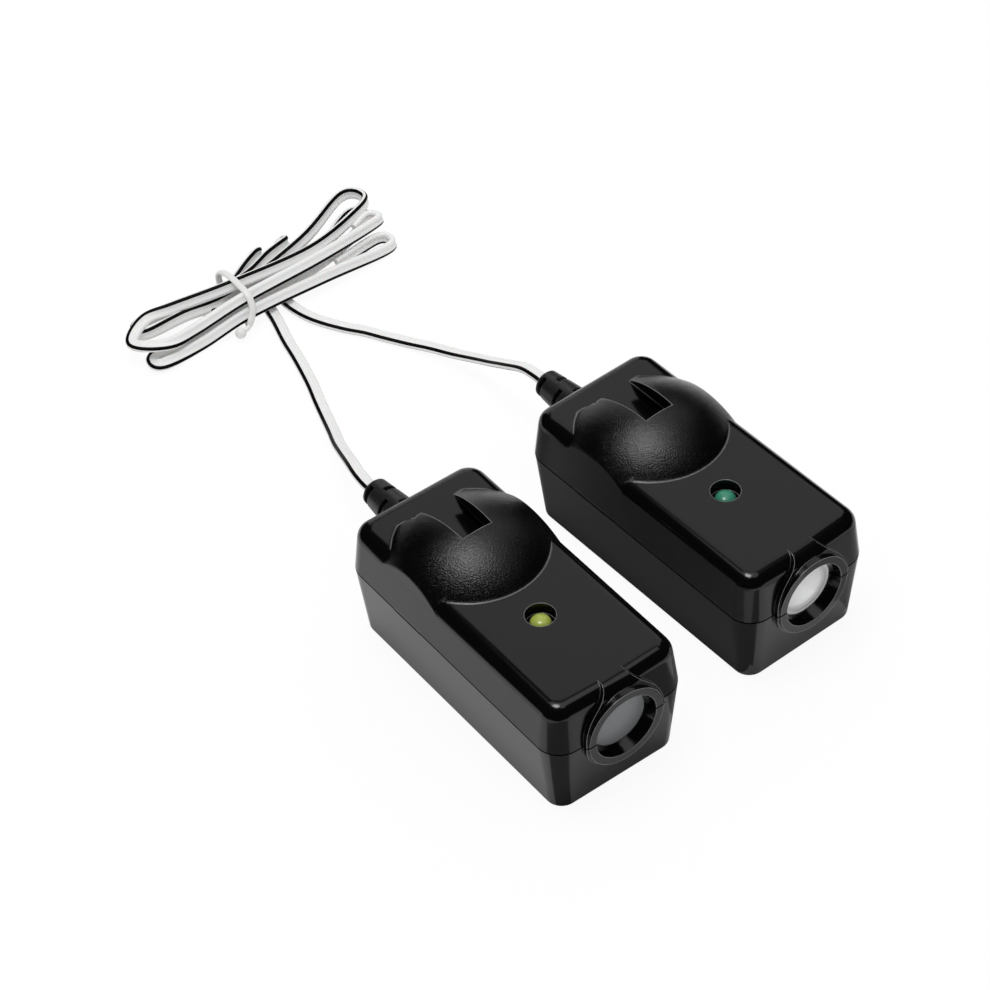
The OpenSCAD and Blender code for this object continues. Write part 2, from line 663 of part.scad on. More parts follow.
// Plastic tie round the hank's waist, its tail bent back to a small round head
tie_t = 1.1;
tie_w = 1.9;
tie_gap = 0.3;
tie_near_y = sender_runs[3][0] - cord_w / 2;
tie_far_y = sender_runs[0][0] + cord_w / 2;
tie_in_w = tie_far_y - tie_near_y;
tie_low_z = sender_runs[1][1] - cord_w / 2 - tie_gap;
tie_in_h = receiver_runs[2][1] + cord_w / 2 + tie_gap - tie_low_z;
tie_r = 2.2;
tie_x = waist_x + 0.5 * tie_t;
tie_tail_d = 1.3;
tie_tail_l = 6;
tie_head_d = 3.2;
module tie() {
    translate([tie_x + tie_w / 2, (tie_near_y + tie_far_y) / 2, tie_low_z + tie_in_h / 2])
        rotate([0, -90, 0]) difference() {
            rounded_plate(tie_in_h + 2 * tie_t, tie_in_w + 2 * tie_t, tie_r + tie_t, tie_w);
            translate([0, 0, -over]) rounded_plate(tie_in_h, tie_in_w, tie_r, tie_w + 2 * over);
        }
    translate([tie_x - tie_tail_l, tie_near_y - tie_t + fit_gap, tie_low_z + tie_tail_d]) {
        rotate([0, 90, 0]) cylinder(h = tie_tail_l, d = tie_tail_d);
        translate([0, 0, -tie_tail_d / 2]) sphere(d = tie_head_d);
    }
}

sender_hank_path = spline(hank_points(sender_runs, sender_tips, sender_end), hank_rings);
receiver_hank_path = spline(hank_points(receiver_runs, receiver_tips, receiver_end), hank_rings);
union() {
    echo(sender_hank_gap = own_gap(sender_hank_path));
    echo(receiver_hank_gap = own_gap(receiver_hank_path));
}

module sender_base() { color("#1b1b1c") base_shell(); }
module sender_cover() { color("#1f1f20") cover_shell(); }
module sender_lens() { color("#4a4b4d") lens_flange(); }
module sender_lens_holder() { color("#141414") lens_holder(); }
module sender_indicator() { color("#c3cf4a") indicator(); }
module sender_board() { color("#1f6b3a") board(); }
module sender_emitter() { color("#3a3f6a") source(); }
module sender_driver_chip() { color("#202020") chip(chip_share); }
module sender_resistors() { color("#c9ab78") resistors(3); }
module sender_capacitor() { color("#26355e") capacitor(); }
module sender_rectifier() { color("#1a1a1a") rectifier(); }
module sender_board_screws() { color("#b8bcc0") board_screws(); }
module sender_boot() { color("#202021") boot(); }
module sender_inner_wires() { color("#e8e8e6") inner_wires(); }
module sender_lead() { color("#f2f2f0") wire_tube(spline(fitted(sender_route, boot_end), lead_rings), lead_outline); }
module sender_hank() { color("#f2f2f0") wire_tube(sender_hank_path, hank_outline); }

module receiver_base() { color("#1b1b1c") at_receiver() base_shell(); }
module receiver_cover() { color("#1f1f20") at_receiver() cover_shell(); }
module receiver_lens() {
    color("#e8ebec") at_receiver() {
        lens_flange();
        ball_lens(lens_dome_r, lens_dome_h, lens_y, -1);
    }
}
module receiver_lens_holder() { color("#141414") at_receiver() lens_holder(); }
module receiver_indicator() { color("#2f8f63") at_receiver() indicator(); }
module receiver_board() { color("#1f6b3a") at_receiver() board(); }
module receiver_photodiode() { color("#303236") at_receiver() source(); }
module receiver_shield_can() { color("#c4c8ca") at_receiver() shield_can(); }
module receiver_amplifier_chip() { color("#202020") at_receiver() chip(chip_share); }
module receiver_resistors() { color("#c9ab78") at_receiver() resistors(4); }
module receiver_capacitor() { color("#26355e") at_receiver() capacitor(); }
module receiver_rectifier() { color("#1a1a1a") at_receiver() rectifier(); }
module receiver_board_screws() { color("#b8bcc0") at_receiver() board_screws(); }
module receiver_boot() { color("#202021") at_receiver() boot(); }
module receiver_inner_wires() { color("#e8e8e6") at_receiver() inner_wires(); }
module receiver_lead() {
    color("#f2f2f0") wire_tube(spline(fitted(receiver_route, pair_start), lead_rings), lead_outline);
}
module receiver_hank() { color("#f2f2f0") wire_tube(receiver_hank_path, hank_outline); }
module hank_tie() { color("#f5f5f3") tie(); }

sender_base();
sender_cover();
sender_lens();
sender_lens_holder();
sender_indicator();
sender_board();
sender_emitter();
sender_driver_chip();
sender_resistors();
sender_capacitor();
sender_rectifier();
sender_board_screws();
sender_boot();
sender_inner_wires();
sender_lead();
sender_hank();
receiver_base();
receiver_cover();
receiver_lens();
receiver_lens_holder();
receiver_indicator();
receiver_board();
receiver_photodiode();
receiver_shield_can();
receiver_amplifier_chip();
receiver_resistors();
receiver_capacitor();
receiver_rectifier();
receiver_board_screws();
receiver_boot();
receiver_inner_wires();
receiver_lead();
receiver_hank();
hank_tie();
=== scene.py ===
"""Looks of a pair of gate safety photocells with their twin bell wire in one tied hank.

Metres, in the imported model's frame: the sender's footprint is centred on the origin with
its lens towards -Y, and the receiver stands beside it on +X.
"""
import logging
import math
from dataclasses import dataclass
from enum import Enum

import bmesh
import bpy
from bmesh.types import BMEdge, BMesh, BMVert
from bpy.types import Material, Node, NodeSocket, NodeTree, Object
from mathutils import Matrix, Vector


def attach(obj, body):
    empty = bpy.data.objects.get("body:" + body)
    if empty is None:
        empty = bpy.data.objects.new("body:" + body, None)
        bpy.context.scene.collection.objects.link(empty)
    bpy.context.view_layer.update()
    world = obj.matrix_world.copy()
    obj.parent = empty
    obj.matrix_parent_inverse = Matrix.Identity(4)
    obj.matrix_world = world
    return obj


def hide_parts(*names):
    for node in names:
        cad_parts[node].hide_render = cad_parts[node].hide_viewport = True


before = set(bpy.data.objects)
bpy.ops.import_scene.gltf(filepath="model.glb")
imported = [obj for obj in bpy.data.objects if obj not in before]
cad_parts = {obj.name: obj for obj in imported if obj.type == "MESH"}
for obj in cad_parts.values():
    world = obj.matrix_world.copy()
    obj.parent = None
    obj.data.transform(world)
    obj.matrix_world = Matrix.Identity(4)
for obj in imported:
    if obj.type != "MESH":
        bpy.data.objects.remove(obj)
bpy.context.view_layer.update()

log = logging.getLogger("photocells")
MM = 0.001
IMAGE_PX = 990
SOFT_TURN = 60.0

Links = dict[str | int, Node | NodeSocket]
Settings = dict[str | int, object]


# ---------------------------------------------------------------- small helpers

def linear(hex_colour: str) -> tuple[float, float, float, float]:
    """Turns an sRGB hex colour to linear light.

    Args:
        hex_colour: Six digits after a hash.

    Returns:
        Red, green, blue and alpha in linear light.
    """
    parts = [int(hex_colour[i:i + 2], 16) / 255 for i in (1, 3, 5)]
    curve = [p / 12.92 if p <= 0.04045 else ((p + 0.055) / 1.055) ** 2.4 for p in parts]
    return curve[0], curve[1], curve[2], 1.0


def per_metre(size_mm: float) -> float:
    """Scale of a texture whose features are this many millimetres apart."""
    return 1.0 / (size_mm * MM)


def add_node(tree: NodeTree, kind: str, settings: Settings | None = None,
             links: Links | None = None) -> Node:
    """Adds one node with its settings and its incoming links.

    Args:
        tree: Node tree that gets the node.
        kind: Blender's name for the node's type, without its ShaderNode.
        settings: Attributes of the node, and values of its inputs by name or number.
        links: What feeds each input, by name or number: a socket, or a node for its first.

    Returns:
        The new node.
    """
    node = tree.nodes.new(f"ShaderNode{kind}")
    for name, value in (settings or {}).items():
        if isinstance(name, str) and hasattr(node, name) and name not in node.inputs:
            setattr(node, name, value)
        else:
            node.inputs[name].default_value = value
    for name, source in (links or {}).items():
        socket = source.outputs[0] if isinstance(source, Node) else source
        tree.links.new(socket, node.inputs[name])
    return node


def new_material(name: str) -> tuple[Material, NodeTree]:
    """Makes an empty node material.

    Args:
        name: Name of the material.

    Returns:
        The material and its node tree.
    """
    material = bpy.data.materials.new(name)
    material.use_nodes = True
    material.node_tree.nodes.clear()
    return material, material.node_tree


def close(tree: NodeTree, shader: Node) -> None:
    """Links a shader to the material's output."""
    add_node(tree, "OutputMaterial", links={"Surface": shader})


def openness(tree: NodeTree, reach_mm: float, shut: float, bare: float) -> Node:
    """Measures how open a face lies, for slots and roots where little light comes out.

    Args:
        tree: The material's node tree.
        reach_mm: How far neighbouring faces count.
        shut: Unblocked share of the sky at which it counts as 0.
        bare: The share at which it counts as 1.

    Returns:
        Node with the openness.
    """
    sky = add_node(tree, "AmbientOcclusion", {"samples": 6, "only_local": True,
                   "Distance": reach_mm * MM})
    return add_node(tree, "MapRange", {"From Min": shut, "From Max": bare},
                    {"Value": sky.outputs["AO"]})


def piece_from(bm: BMesh, name: str, material: Material) -> Object:
    """Turns a bmesh into a shown piece that rides on the root body.

    Args:
        bm: The finished bmesh, freed here.
        name: Name of the piece.
        material: Its only material.

    Returns:
        The new object.
    """
    mesh = bpy.data.meshes.new(name)
    bm.to_mesh(mesh)
    bm.free()
    mesh.materials.append(material)
    piece = bpy.data.objects.new(name, mesh)
    bpy.context.scene.collection.objects.link(piece)
    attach(piece, "root")
    return piece


def mark_edges(bm: BMesh, sharp: float) -> None:
    """Shades a bmesh smooth, but for sharp edges and those without two faces.

    Args:
        bm: The bmesh.
        sharp: Turn past which an edge is sharp, in degrees.
    """
    for face in bm.faces:
        face.smooth = True
    for edge in bm.edges:
        edge.smooth = (len(edge.link_faces) == 2
                       and edge.calc_face_angle(0.0) <= math.radians(sharp))


def sweep(bm: BMesh, rings: list[list[Vector]], closed: bool) -> list[list[BMVert]]:
    """Extrudes an outline through a list of rings.

    Args:
        bm: The bmesh that gets the tube.
        rings: Places of each ring's points, all with the same number of points.
        closed: Whether the last ring joins the first; else both ends are capped.

    Returns:
        The tube's vertices, ring by ring.
    """
    count = len(rings[0])
    first = [bm.verts.new(point) for point in rings[0]]
    start = [bm.edges.new((first[i], first[(i + 1) % count])) for i in range(count)]
    edges = start
    made = [first]
    for ring in rings[1:]:
        grown = bmesh.ops.extrude_edge_only(bm, edges=edges)["geom"]
        fresh = {v for v in grown if isinstance(v, BMVert)}
        order = [next(e.other_vert(v) for e in v.link_edges if e.other_vert(v) in fresh)
                 for v in made[-1]]
        edges = [g for g in grown if isinstance(g, BMEdge)
                 and all(v in fresh for v in g.verts)]
        for vert, point in zip(order, ring):
            vert.co = point
        made.append(order)
    if closed:
        bmesh.ops.bridge_loops(bm, edges=start + edges)
    else:
        bmesh.ops.contextual_create(bm, geom=start)
        bmesh.ops.contextual_create(bm, geom=edges)
    return made


def spline(keys: list[Vector], steps: int, closed: bool = False) -> list[Vector]:
    """Runs a Catmull-Rom line through key points.

    Args:
        keys: The points, with any number of coordinates.
        steps: Steps of each stretch between two of them.
        closed: Whether the line returns to its first point.

    Returns:
        The line's points.
    """
    last = len(keys) - 1
    line = []
    for i in range(last + 1 if closed else last):
        a, b, c, d = [keys[j % (last + 1)] if closed else keys[max(0, min(last, j))]
                      for j in (i - 1, i, i + 1, i + 2)]
        for k in range(steps):
            t = k / steps
            line.append(0.5 * (2 * b + (c - a) * t + (2 * a - 5 * b + 4 * c - d) * t * t
                               + (3 * b - a - 3 * c + d) * t ** 3))
    return line if closed else line + [keys[last]]


# ---------------------------------------------------------------- finishes

@dataclass(frozen=True)
class MouldedAbs:
    """Black ABS, injection moulded: satin walls, and spark-eroded grain on the dome.

    The walls mirror the white table softly, so that upright faces look grey. The grain
    breaks the overhead light into a sparkling patch. The dome's root and its run into the
    wall are rounded more softly than the other edges, whose rounds catch thin bright lines,
    helped by a painted highlight: a light grey mixed into the base colour along them.
    """

    name: str = "moulded_abs_black"
    colour: str = "#080809"
    ior: float = 1.5
    satin_roughness: float = 0.15
    satin_mm: float = 0.6
    satin_relief_mm: float = 0.02
    satin_strength: float = 0.03
    grain_roughness: float = 0.2
    grain_mm: float = 0.34
    grain_relief_mm: float = 0.12
    grain_strength: float = 0.9
    edge_mm: float = 0.3
    root_mm: float = 1.1
    root_radius_mm: float = 18.5
    root_band_mm: float = 1.3
    root_core: float = 0.8
    dome_y_mm: float = 15.1
    rim_highlight: str = "#989898"
    rim_from: float = 0.975
    rim_full: float = 0.9
    rim_reach_mm: float = 15.0
    hood_y_mm: float = -34.0
    fade_mm: float = 1.0
    shade_mm: float = 1.5
    shade_from: float = 0.72
    shade_to: float = 0.92
    seam: str = "#020202"
    seam_z_mm: float = 20.0
    seam_half_mm: float = 0.26
    seam_core: float = 0.6

    def rounded(self, tree: NodeTree, own: Node) -> Node:
        """Rounds the edges, and those near the dome's root more softly.

        Args:
            tree: The material's node tree.
            own: Node with the unit's own coordinates.

        Returns:
            Node with the rounded normal.
        """
        flat = add_node(tree, "VectorMath", {"operation": "MULTIPLY", 1: (1.0, 1.0, 0.0)},
                        {0: own.outputs["Vector"]})
        axis = add_node(tree, "VectorMath", {"operation": "DISTANCE",
                        1: (0.0, self.dome_y_mm * MM, 0.0)}, {0: flat})
        aside = add_node(tree, "Math", {"operation": "SUBTRACT", 1: self.root_radius_mm * MM},
                         {0: axis.outputs["Value"]})
        near = add_node(tree, "Math", {"operation": "ABSOLUTE"}, {0: aside})
        wide = add_node(tree, "MapRange", {"From Min": self.root_band_mm * MM,
                        "From Max": self.root_core * self.root_band_mm * MM,
                        "To Min": self.edge_mm * MM, "To Max": self.root_mm * MM},
                        {"Value": near})
        return add_node(tree, "Bevel", {"samples": 10}, {"Radius": wide})

    def painted_highlight_share(self, tree: NodeTree, own: Node, edge: Node) -> Node:
        """Finds where the painted highlight goes: where an edge's round turns away from the face.

        The long outer edges have none, and in front only open edges get the painted highlight,
        because the hood's root lies in shade.

        Args:
            tree: The material's node tree.
            own: Node with the unit's own coordinates.
            edge: Node with the rounded normal.

        Returns:
            Node with the painted highlight's share, from 0 to 1.
        """
        shape = add_node(tree, "NewGeometry")
        turn = add_node(tree, "VectorMath", {"operation": "DOT_PRODUCT"},
                        {0: edge, 1: shape.outputs["Normal"]})
        rim_highlight = add_node(tree, "MapRange", {"From Min": self.rim_from, "From Max": self.rim_full},
                       {"Value": turn.outputs["Value"]})
        where = add_node(tree, "SeparateXYZ", links={0: own.outputs["Vector"]})
        side = add_node(tree, "Math", {"operation": "ABSOLUTE"}, {0: where.outputs["X"]})
        inside = add_node(tree, "MapRange", {"From Min": (self.rim_reach_mm + self.fade_mm) * MM,
                          "From Max": self.rim_reach_mm * MM}, {"Value": side})
        behind = add_node(tree, "MapRange", {"From Min": self.hood_y_mm * MM,
                          "From Max": (self.hood_y_mm + self.fade_mm) * MM},
                          {"Value": where.outputs["Y"]})
        bare = openness(tree, self.shade_mm, self.shade_from, self.shade_to)
        kept = add_node(tree, "Math", {"operation": "MAXIMUM"}, {0: behind, 1: bare})
        held = add_node(tree, "Math", {"operation": "MULTIPLY"}, {0: kept, 1: inside})
        return add_node(tree, "Math", {"operation": "MULTIPLY"}, {0: rim_highlight, 1: held})

    def seam_share(self, tree: NodeTree, place: NodeSocket) -> Node:
        """Finds the parting line of the two shells.

        Args:
            tree: The material's node tree.
            place: Socket with the Object coordinates.

        Returns:
            Node with the line's share, from 0 to 1.
        """
        axes = add_node(tree, "SeparateXYZ", links={0: place})
        off = add_node(tree, "Math", {"operation": "SUBTRACT", 1: self.seam_z_mm * MM},
                       {0: axes.outputs["Z"]})
        away = add_node(tree, "Math", {"operation": "ABSOLUTE"}, {0: off})
        return add_node(tree, "MapRange", {"From Min": self.seam_half_mm * MM,
                        "From Max": self.seam_core * self.seam_half_mm * MM}, {"Value": away})

    def build(self) -> Material:
        """Makes the skin, with the grain where the mesh marks it.

        Returns:
            The material.
        """
        material, tree = new_material(self.name)
        place = add_node(tree, "TexCoord").outputs["Object"]
        own = add_node(tree, "Attribute", {"attribute_name": "own"})
        grain = add_node(tree, "Attribute", {"attribute_name": "grain"})
        edge = self.rounded(tree, own)
        rim_highlight = self.painted_highlight_share(tree, own, edge)
        # Painted highlight: a light grey mixed into the base colour along the rounds of the edges
        tone = add_node(tree, "Mix", {"data_type": "RGBA", 6: linear(self.colour),
                        7: linear(self.rim_highlight)}, {0: rim_highlight})
        # Faint flow of the satin walls
        flow = add_node(tree, "TexNoise", {"Scale": per_metre(self.satin_mm), "Detail": 1.0,
                        "Roughness": 0.5}, {"Vector": place})
        satin = add_node(tree, "Bump", {"Strength": self.satin_strength,
                         "Distance": self.satin_relief_mm * MM}, {"Height": flow, "Normal": edge})
        # Spark grain as fine pits a few tenths of a millimetre across
        pits = add_node(tree, "TexNoise", {"Scale": per_metre(self.grain_mm), "Detail": 2.0,
                        "Roughness": 0.6}, {"Vector": place})
        depth = add_node(tree, "Math", {"operation": "MULTIPLY", 1: self.grain_strength},
                         {0: grain.outputs["Fac"]})
        spark = add_node(tree, "Bump", {"Distance": self.grain_relief_mm * MM},
                         {"Height": pits, "Strength": depth, "Normal": satin})
        gloss = add_node(tree, "MapRange", {"To Min": self.satin_roughness,
                         "To Max": self.grain_roughness}, {"Value": grain.outputs["Fac"]})
        skin = add_node(tree, "BsdfPrincipled", {"IOR": self.ior},
                        {"Base Color": tone.outputs[2], "Roughness": gloss, "Normal": spark})
        # The gap of the parting line takes in light
        gap = add_node(tree, "BsdfDiffuse", {"Color": linear(self.seam)})
        line = self.seam_share(tree, place)
        both = add_node(tree, "MixShader", links={0: line, 1: skin, 2: gap})
        close(tree, both)
        return material


@dataclass(frozen=True)
class BootRubber:
    """Black thermoplastic rubber, moulded: a soft even sheen without sharp mirrors."""

    name: str = "boot_rubber_black"
    colour: str = "#1e1e1f"
    painted_slot_shade: str = "#020202"
    ior: float = 1.52
    shine: float = 0.5
    roughness: tuple[float, float] = (0.29, 0.44)
    bloom_mm: float = 0.8
    relief_mm: float = 0.03
    strength: float = 0.1
    edge_mm: float = 0.25
    slot_mm: float = 1.2
    slot_from: float = 0.45
    slot_to: float = 0.8

    def build(self) -> Material:
        """Makes the rubber, with painted shade in its slots: darker and with less sheen where
        neighbouring faces shut out the sky.

        Returns:
            The material.
        """
        material, tree = new_material(self.name)
        place = add_node(tree, "TexCoord").outputs["Object"]
        bloom = add_node(tree, "TexNoise", {"Scale": per_metre(self.bloom_mm), "Detail": 3.0},
                         {"Vector": place})
        edge = add_node(tree, "Bevel", {"samples": 4, "Radius": self.edge_mm * MM})
        bump = add_node(tree, "Bump", {"Strength": self.strength, "Distance": self.relief_mm * MM},
                        {"Height": bloom, "Normal": edge})
        gloss = add_node(tree, "MapRange", {"To Min": self.roughness[0],
                         "To Max": self.roughness[1]}, {"Value": bloom})
        # Painted shade: near black and a weaker sheen where the slots shut out the sky
        bare = openness(tree, self.slot_mm, self.slot_from, self.slot_to)
        tone = add_node(tree, "Mix", {"data_type": "RGBA", 6: linear(self.painted_slot_shade),
                        7: linear(self.colour)}, {0: bare})
        shine = add_node(tree, "Math", {"operation": "MULTIPLY", 1: self.shine}, {0: bare})
        skin = add_node(tree, "BsdfPrincipled", {"IOR": self.ior},
                        {"Base Color": tone.outputs[2], "Roughness": gloss, "Normal": bump,
                         "Specular IOR Level": shine})
        close(tree, skin)
        return material


@dataclass(frozen=True)
class TwinPvc:
    """Extruded PVC insulation: smooth white, with a black line run into one conductor's crown.

    The line stays crisp at its edges and is matt, so that it looks black under the softbox.
    The white is bright with a low gloss.
    """

    name: str = "twin_pvc_white"
    colour: str = "#f8f8f7"
    wash: str = "#f4f4f3"
    wash_mm: float = 6.0
    ink: str = "#060606"
    ior: float = 1.53
    roughness: float = 0.42
    shine: float = 0.5
    ink_shine: float = 0.08
    glow: float = 0.08
    glow_mm: float = 0.4
    stripe_at: float = 62.0
    stripe_half: float = 35.0
    stripe_blur: float = 0.08
    draw_mm: float = 1.2
    relief_mm: float = 0.02
    strength: float = 0.05

    def build(self) -> Material:
        """Makes the insulation with its line.

        Returns:
            The material.
        """
        material, tree = new_material(self.name)
        place = add_node(tree, "TexCoord").outputs["Object"]
        # "lobe" holds the angle round the marked conductor in half turns, and 1 elsewhere
        lobe = add_node(tree, "Attribute", {"attribute_name": "lobe"})
        off = add_node(tree, "Math", {"operation": "SUBTRACT", 1: self.stripe_at / 180},
                       {0: lobe.outputs["Fac"]})
        away = add_node(tree, "Math", {"operation": "ABSOLUTE"}, {0: off})
        half = self.stripe_half / 180
        inked = add_node(tree, "MapRange", {"From Min": half * (1 + self.stripe_blur),
                         "From Max": half * (1 - self.stripe_blur)}, {"Value": away})
        wash = add_node(tree, "TexNoise", {"Scale": per_metre(self.wash_mm), "Detail": 2.0},
                        {"Vector": place})
        tone = add_node(tree, "Mix", {"data_type": "RGBA", 6: linear(self.colour),
                        7: linear(self.wash)}, {0: wash})
        colour = add_node(tree, "Mix", {"data_type": "RGBA", 7: linear(self.ink)},
                          {0: inked, 6: tone.outputs[2]})
        drawn = add_node(tree, "TexNoise", {"Scale": per_metre(self.draw_mm), "Detail": 1.0},
                         {"Vector": place})
        bump = add_node(tree, "Bump", {"Strength": self.strength, "Distance": self.relief_mm * MM},
                        {"Height": drawn})
        shine = add_node(tree, "MapRange", {"To Min": self.shine, "To Max": self.ink_shine},
                         {"Value": inked})
        skin = add_node(tree, "BsdfPrincipled", {"Roughness": self.roughness, "IOR": self.ior,
                        "Subsurface Weight": self.glow, "Subsurface Scale": self.glow_mm * MM},
                        {"Base Color": colour.outputs[2], "Normal": bump,
                         "Specular IOR Level": shine})
        close(tree, skin)
        return material


@dataclass(frozen=True)
class Plastic:
    """A moulded, cast or potted plastic: one tone with a slight wash and its own sheen."""

    name: str
    colour: str
    wash: str
    roughness: float
    ior: float = 1.5
    wash_mm: float = 2.0
    strength: float = 0.05
    through: float = 0.0
    coat: float = 0.0
    coat_roughness: float = 0.05
    relief_mm: float = 0.03

    def build(self) -> Material:
        """Makes the plastic.

        Returns:
            The material.
        """
        material, tree = new_material(self.name)
        place = add_node(tree, "TexCoord").outputs["Object"]
        wash = add_node(tree, "TexNoise", {"Scale": per_metre(self.wash_mm), "Detail": 3.0},
                        {"Vector": place})
        tone = add_node(tree, "Mix", {"data_type": "RGBA", 6: linear(self.colour),
                        7: linear(self.wash)}, {0: wash})
        bump = add_node(tree, "Bump", {"Strength": self.strength, "Distance": self.relief_mm * MM},
                        {"Height": wash})
        skin = add_node(tree, "BsdfPrincipled", {"Roughness": self.roughness, "IOR": self.ior,
                        "Transmission Weight": self.through, "Coat Weight": self.coat,
                        "Coat Roughness": self.coat_roughness},
                        {"Base Color": tone.outputs[2], "Normal": bump})
        close(tree, skin)
        return material


@dataclass(frozen=True)
class PlatedMetal:
    """Tinned or zinc-plated steel: a grey mirror, broken by fine rolling lines."""

    name: str
    colour: str
    roughness: tuple[float, float]
    line_mm: float = 0.15
    stretch: tuple[float, float, float] = (0.08, 1.0, 1.0)
    relief_mm: float = 0.01
    strength: float = 0.12

    def build(self) -> Material:
        """Makes the plated metal.

        Returns:
            The material.
        """
        material, tree = new_material(self.name)
        place = add_node(tree, "TexCoord").outputs["Object"]
        lines = add_node(tree, "Mapping", {"Scale": self.stretch}, {"Vector": place})
        roll = add_node(tree, "TexNoise", {"Scale": per_metre(self.line_mm), "Detail": 2.0},
                        {"Vector": lines})
        gloss = add_node(tree, "MapRange", {"To Min": self.roughness[0],
                         "To Max": self.roughness[1]}, {"Value": roll})
        bump = add_node(tree, "Bump", {"Strength": self.strength, "Distance": self.relief_mm * MM},
                        {"Height": roll})
        skin = add_node(tree, "BsdfPrincipled", {"Base Color": linear(self.colour),
                        "Metallic": 1.0}, {"Roughness": gloss, "Normal": bump})
        close(tree, skin)
        return material


@dataclass(frozen=True)
class SolderMask:
    """Glass-epoxy board under green solder mask, with its tracks showing through."""

    name: str = "solder_mask_green"
    colour: str = "#14532f"
    plane: str = "#175a34"
    track: str = "#2a7a4a"
    track_step_mm: float = 4.0
    track_share: float = 0.06
    roughness: float = 0.3
    ior: float = 1.55

    def build(self) -> Material:
        """Makes the board's face.

        Returns:
            The material.
        """
        material, tree = new_material(self.name)
        place = add_node(tree, "TexCoord").outputs["Object"]
        tracks = add_node(tree, "TexBrick", {"Scale": per_metre(self.track_step_mm),
                          "Color1": linear(self.colour), "Color2": linear(self.plane),
                          "Mortar": linear(self.track), "Mortar Size": self.track_share},
                          {"Vector": place})
        skin = add_node(tree, "BsdfPrincipled", {"Roughness": self.roughness, "IOR": self.ior},
                        {"Base Color": tracks})
        close(tree, skin)
        return material


class Finish(Enum):
    """The finishes of this pair, each named for its real material."""

    ABS = MouldedAbs()
    RUBBER = BootRubber()
    WIRE = TwinPvc()
    TIE = Plastic("tie_nylon_white", "#f6f6f5", "#ececea", 0.4, 1.53, 1.5, 0.08)
    LENS_GREY = Plastic("lens_polycarbonate_grey", "#7f8183", "#7a7c7e", 0.3, 1.58, 0.35, 0.1)
    LENS_CLEAR = Plastic("lens_acrylic_pale", "#ffffff", "#fafbfb", 0.1, 1.49, 3.0, 0.02,
                         coat=0.6)
    LED_YELLOW = Plastic("led_epoxy_yellow_green", "#a2b048", "#b2c05e", 0.18, 1.54, 1.2, 0.03)
    LED_GREEN = Plastic("led_epoxy_green", "#33846a", "#449377", 0.18, 1.54, 1.2, 0.03)
    EMITTER = Plastic("emitter_epoxy_blue", "#3b4272", "#454d80", 0.1, 1.54, 2.0, 0.02, 0.3)
    DETECTOR = Plastic("detector_epoxy_dark", "#101114", "#17181c", 0.12, 1.54, 2.0, 0.02)
    HOLDER = Plastic("holder_abs_matt", "#0c0c0c", "#121212", 0.6, 1.5, 0.5, 0.2)
    CHIP = Plastic("chip_epoxy_black", "#161616", "#1d1d1d", 0.55, 1.5, 0.2, 0.3)
    RESISTOR = Plastic("resistor_lacquer_tan", "#c7a977", "#b99a66", 0.35, 1.5, 1.0, 0.1)
    CAPACITOR = Plastic("capacitor_sleeve_blue", "#24345f", "#1f2d54", 0.3, 1.5, 3.0, 0.05)
    CORE = Plastic("core_pvc_white", "#e8e8e6", "#dededc", 0.4, 1.53, 1.0, 0.05)
    BOARD = SolderMask()
    SCREW = PlatedMetal("screw_zinc_plate", "#b9bcc0", (0.22, 0.42))
    CAN = PlatedMetal("can_tinned_steel", "#c6cacc", (0.2, 0.4))


class Finishes:
    """Makes each finish once and hands it out."""

    def __init__(self) -> None:
        """Starts with none made."""
        self.made: dict[Finish, Material] = {}

    def get(self, finish: Finish) -> Material:
        """Hands out a finish, made on first use.

        Args:
            finish: Which one.

        Returns:
            Its material.
        """
        if finish not in self.made:
            self.made[finish] = finish.value.build()
        return self.made[finish]


# ---------------------------------------------------------------- camera and studio

@dataclass
class Camera:
    """The camera at the photograph's place, in millimetres and degrees."""

    azimuth: float = -34.684
    elevation: float = 44.705
    roll: float = -3.399
    distance: float = 776.2
    target: tuple[float, float, float] = (32.7, 51.6, 0.0)
    focal_px: float = 3158.66
    sensor: float = 36.0
    clip: float = 10.0

    def build(self) -> None:
        """Makes the camera and gives it to the scene."""
        az, el, roll = (math.radians(a) for a in (self.azimuth, self.elevation, self.roll))
        back = Vector((math.sin(az) * math.cos(el), -math.cos(az) * math.cos(el), math.sin(el)))
        right = Vector((math.cos(az), math.sin(az), 0.0))
        up = back.cross(right)
        turned_right = right * math.cos(roll) + up * math.sin(roll)
        turned_up = up * math.cos(roll) - right * math.sin(roll)
        data = bpy.data.cameras.new("camera")
        data.sensor_width = self.sensor
        data.lens = self.focal_px * self.sensor / IMAGE_PX
        data.clip_start = self.clip * MM
        camera = bpy.data.objects.new("camera", data)
        matrix = Matrix((turned_right, turned_up, back)).transposed().to_4x4()
        matrix.translation = (Vector(self.target) + back * self.distance) * MM
        camera.matrix_world = matrix
        bpy.context.scene.collection.objects.link(camera)
        bpy.context.scene.camera = camera


